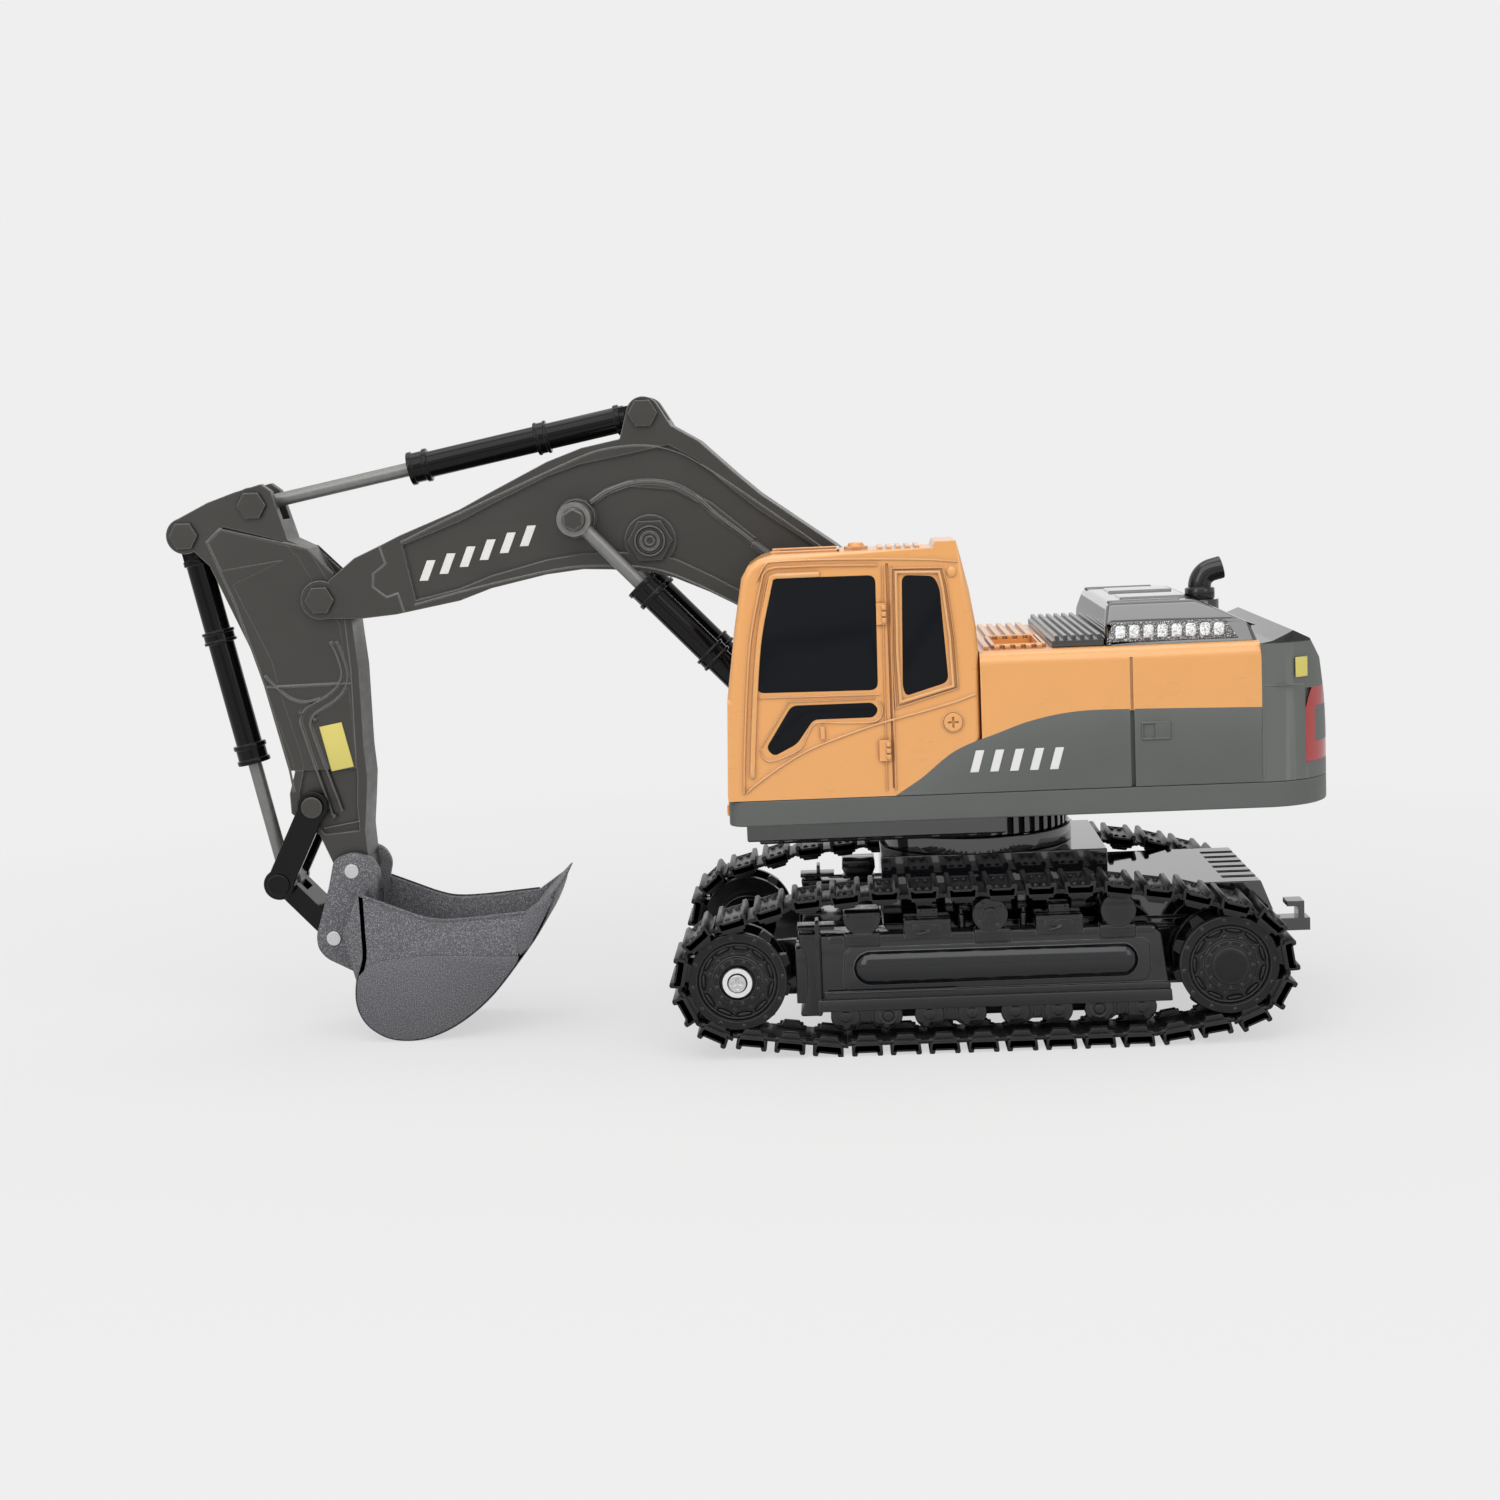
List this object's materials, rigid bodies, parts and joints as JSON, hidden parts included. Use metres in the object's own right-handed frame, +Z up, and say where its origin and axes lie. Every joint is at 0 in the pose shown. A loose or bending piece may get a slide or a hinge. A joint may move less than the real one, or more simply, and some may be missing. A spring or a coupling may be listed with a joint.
{
  "type": "toy excavator",
  "caption": "Toy tracked excavator with a swinging house, side cab, jointed boom, stick and open bucket, and cylinders that follow the arm.",
  "frame": {"origin": "centre of the bounding box on the ground under the tracks", "axes": "-X is forward, towards the bucket; +Y is the machine's right side, so the cab is at -Y; +Z is up"},
  "size_m": [0.3381, 0.108, 0.1894],
  "materials": {
    "black_gloss": "gloss",
    "black_satin": "satin",
    "orange": "satin",
    "grey": "satin",
    "arm_grey": "satin",
    "bucket_grey": "metal flake satin",
    "pane": "gloss",
    "silver_plastic": "metallic",
    "steel": "bright",
    "rod": "satin",
    "red_lamp": "gloss",
    "amber_lamp": "gloss",
    "battery_wrap": "satin",
    "board_green": "satin",
    "gearbox_white": "satin"
  },
  "bodies": {
    "chassis": {"chassis_frame": "black_gloss", "belly_cover": "black_satin", "belly_screws": "steel", "swing_flange": "black_satin", "tow_hook": "black_gloss", "battery_pack": "battery_wrap", "circuit_board": "board_green", "travel_motors": "steel", "gearbox_left": "gearbox_white", "gearbox_right": "gearbox_white", "track_frame_left": "black_gloss", "track_frame_right": "black_gloss", "track_left": "black_gloss", "track_right": "black_gloss", "idler_washers": "steel", "idler_screws": "steel"},
    "front_wheel_left": {"idler_left": "black_gloss"},
    "front_wheel_right": {"idler_right": "black_gloss"},
    "drive_wheel_left": {"sprocket_left": "black_gloss", "hub_cap_left": "black_gloss"},
    "drive_wheel_right": {"sprocket_right": "black_gloss", "hub_cap_right": "black_gloss"},
    "house": {"slew_ring": "black_satin", "slew_retainer": "steel", "house_tray": "black_satin", "house_base": "grey", "side_panel_left": "grey", "side_panel_right": "grey", "body_shell": "orange", "counterweight": "grey", "engine_hood": "black_satin", "hood_grilles": "silver_plastic", "tread_panel": "black_satin", "exhaust_pipe": "black_gloss", "cab_shell": "orange", "cab_panes": "pane", "windscreen": "pane", "skylight": "pane", "tail_lamps": "red_lamp", "front_lamps": "amber_lamp", "boom_bracket": "arm_grey", "foot_pins": "arm_grey"},
    "boom": {"boom_left": "arm_grey", "boom_right": "arm_grey", "boom_pins": "arm_grey"},
    "stick": {"stick_left": "arm_grey", "stick_right": "arm_grey", "stick_pins": "arm_grey"},
    "boom_cylinder_barrels": {"boom_barrels": "black_gloss"},
    "boom_cylinder_rods": {"boom_rods": "rod"},
    "stick_cylinder_barrel": {"stick_barrel": "black_gloss"},
    "stick_cylinder_rod": {"stick_rod": "rod"},
    "bucket_cylinder_barrel": {"bucket_barrel": "black_gloss"},
    "bucket_cylinder_rod": {"bucket_rod": "rod"},
    "rocker": {"rocker_arms": "black_gloss", "rocker_pin": "black_gloss"},
    "link": {"bucket_link": "black_gloss"},
    "bucket": {"bucket": "bucket_grey", "bucket_pins": "steel"}
  },
  "joints": [
    {"name": "drive_left", "type": "hinge", "parent": "chassis", "child": "drive_wheel_left", "pos_m": [0.1371, -0.043, 0.0222], "axis": [0, 1, 0], "continuous": true},
    {"name": "front_left", "type": "hinge", "parent": "chassis", "child": "front_wheel_left", "pos_m": [-0.0021, -0.043, 0.0222], "axis": [0, 1, 0], "continuous": true},
    {"name": "drive_right", "type": "hinge", "parent": "chassis", "child": "drive_wheel_right", "pos_m": [0.1371, 0.043, 0.0222], "axis": [0, 1, 0], "continuous": true},
    {"name": "front_right", "type": "hinge", "parent": "chassis", "child": "front_wheel_right", "pos_m": [-0.0021, 0.043, 0.0222], "axis": [0, 1, 0], "continuous": true},
    {"name": "house_slew", "type": "hinge", "parent": "chassis", "child": "house", "pos_m": [0.0693, 0, 0.06], "axis": [0, 0, 1], "range_deg": [-170, 170]},
    {"name": "boom_lift", "type": "hinge", "parent": "house", "child": "boom", "pos_m": [0.0583, 0, 0.098], "axis": [0, 1, 0], "range_deg": [-4, 18]},
    {"name": "boom_barrel_swing", "type": "hinge", "parent": "house", "child": "boom_cylinder_barrels", "pos_m": [0.0163, 0, 0.088], "axis": [0, 1, 0], "range_deg": [-5.4, 22.4]},
    {"name": "boom_rod_stroke", "type": "slide", "parent": "boom_cylinder_barrels", "child": "boom_cylinder_rods", "axis": [-0.6829, 0, 0.7305], "range_m": [-0.0032, 0.0126]},
    {"name": "stick_swing", "type": "hinge", "parent": "boom", "child": "stick", "pos_m": [-0.1233, 0, 0.1332], "axis": [0, 1, 0], "range_deg": [-11, 15]},
    {"name": "stick_barrel_swing", "type": "hinge", "parent": "boom", "child": "stick_cylinder_barrel", "pos_m": [-0.0244, 0, 0.184], "axis": [0, 1, 0], "range_deg": [-1.8, 2.4]},
    {"name": "stick_rod_stroke", "type": "slide", "parent": "stick_cylinder_barrel", "child": "stick_cylinder_rod", "axis": [-0.983, 0, -0.1834], "range_m": [-0.0085, 0.0064]},
    {"name": "bucket_curl", "type": "hinge", "parent": "stick", "child": "bucket", "pos_m": [-0.1191, 0, 0.0511], "axis": [0, 1, 0], "range_deg": [-15, 35]},
    {"name": "rocker_swing", "type": "hinge", "parent": "stick", "child": "rocker", "pos_m": [-0.1297, 0, 0.0711], "axis": [0, 1, 0], "range_deg": [-12.5, 28.5]},
    {"name": "link_swing", "type": "hinge", "parent": "rocker", "child": "link", "pos_m": [-0.1416, 0, 0.0477], "axis": [0, 1, 0], "range_deg": [-24.6, 11]},
    {"name": "bucket_barrel_swing", "type": "hinge", "parent": "stick", "child": "bucket_cylinder_barrel", "pos_m": [-0.1634, 0, 0.1538], "axis": [0, 1, 0], "range_deg": [-2.6, 5.4]},
    {"name": "bucket_rod_stroke", "type": "slide", "parent": "bucket_cylinder_barrel", "child": "bucket_cylinder_rod", "axis": [0.2013, 0, -0.9795], "range_m": [-0.0095, 0.0044]}
  ],
  "couplings": [
    {"joint": "front_left", "follows": "drive_left", "ratio": 1},
    {"joint": "front_right", "follows": "drive_right", "ratio": 1},
    {"joint": "boom_barrel_swing", "follows": "boom_lift", "ratio": 1.191},
    {"joint": "boom_rod_stroke", "follows": "boom_lift", "m_per_rad": 0.03831},
    {"joint": "stick_barrel_swing", "follows": "stick_swing", "ratio": 0.1276},
    {"joint": "stick_rod_stroke", "follows": "stick_swing", "m_per_rad": -0.030404},
    {"joint": "rocker_swing", "follows": "bucket_curl", "ratio": 0.791},
    {"joint": "link_swing", "follows": "bucket_curl", "ratio": -0.6826},
    {"joint": "bucket_barrel_swing", "follows": "bucket_curl", "ratio": 0.1374},
    {"joint": "bucket_rod_stroke", "follows": "bucket_curl", "m_per_rad": -0.014564}
  ]
}
